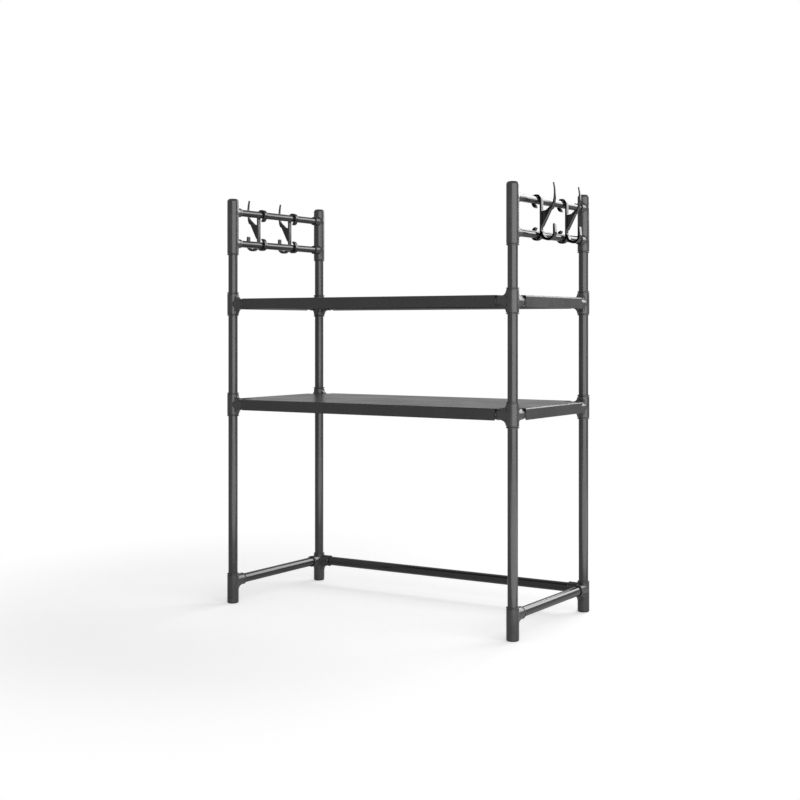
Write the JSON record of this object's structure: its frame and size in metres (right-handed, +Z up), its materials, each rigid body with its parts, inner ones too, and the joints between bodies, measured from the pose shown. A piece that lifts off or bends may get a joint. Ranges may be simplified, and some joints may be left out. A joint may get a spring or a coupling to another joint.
{
  "type": "countertop microwave rack",
  "caption": "Tubular countertop rack that bridges a microwave oven, with sheet shelves above it and side rails that carry sliding double hooks.",
  "frame": {"origin": "on the worktop, midway between the four posts", "axes": "+X right, +Y back, +Z up; the open front faces -Y"},
  "size_m": [0.6122, 0.2766, 0.7045],
  "materials": {
    "tube": "dark gunmetal powder coat, semi-gloss",
    "connector": "moulded dark grey plastic, satin",
    "tray": "charcoal coated sheet, semi-gloss",
    "hook": "black moulded plastic, glossy"
  },
  "bodies": {
    "rack": {"foot_front_left": "connector", "lower_connector_front_left": "connector", "upper_connector_front_left": "connector", "top_connector_front_left": "connector", "foot_front_right": "connector", "lower_connector_front_right": "connector", "upper_connector_front_right": "connector", "top_connector_front_right": "connector", "foot_back_left": "connector", "lower_connector_back_left": "connector", "upper_connector_back_left": "connector", "top_connector_back_left": "connector", "foot_back_right": "connector", "lower_connector_back_right": "connector", "upper_connector_back_right": "connector", "top_connector_back_right": "connector", "lower_post_front_left": "tube", "middle_post_front_left": "tube", "upper_post_front_left": "tube", "lower_post_front_right": "tube", "middle_post_front_right": "tube", "upper_post_front_right": "tube", "lower_post_back_left": "tube", "middle_post_back_left": "tube", "upper_post_back_left": "tube", "lower_post_back_right": "tube", "middle_post_back_right": "tube", "upper_post_back_right": "tube", "base_tube_back": "tube", "base_tube_left": "tube", "base_tube_right": "tube", "hook_rail_left_lower": "tube", "hook_rail_left_upper": "tube", "hook_rail_right_lower": "tube", "hook_rail_right_upper": "tube", "lower_shelf_tube_front": "tube", "lower_shelf_tube_back": "tube", "lower_shelf_tube_left": "tube", "lower_shelf_tube_right": "tube", "upper_shelf_tube_front": "tube", "upper_shelf_tube_back": "tube", "upper_shelf_tube_left": "tube", "upper_shelf_tube_right": "tube", "lower_shelf_tray": "tray", "upper_shelf_tray": "tray"},
    "hook_left_front": {"hook_left_front": "hook"},
    "hook_left_back": {"hook_left_back": "hook"},
    "hook_right_front": {"hook_right_front": "hook"},
    "hook_right_back": {"hook_right_back": "hook"}
  },
  "joints": [
    {"name": "hook_left_front_slide", "type": "slide", "parent": "rack", "child": "hook_left_front", "axis": [0, 1, 0], "range_m": [-0.0585, 0.041]},
    {"name": "hook_left_back_slide", "type": "slide", "parent": "rack", "child": "hook_left_back", "axis": [0, 1, 0], "range_m": [-0.041, 0.0585]},
    {"name": "hook_right_front_slide", "type": "slide", "parent": "rack", "child": "hook_right_front", "axis": [0, 1, 0], "range_m": [-0.0585, 0.041]},
    {"name": "hook_right_back_slide", "type": "slide", "parent": "rack", "child": "hook_right_back", "axis": [0, 1, 0], "range_m": [-0.041, 0.0585]}
  ]
}
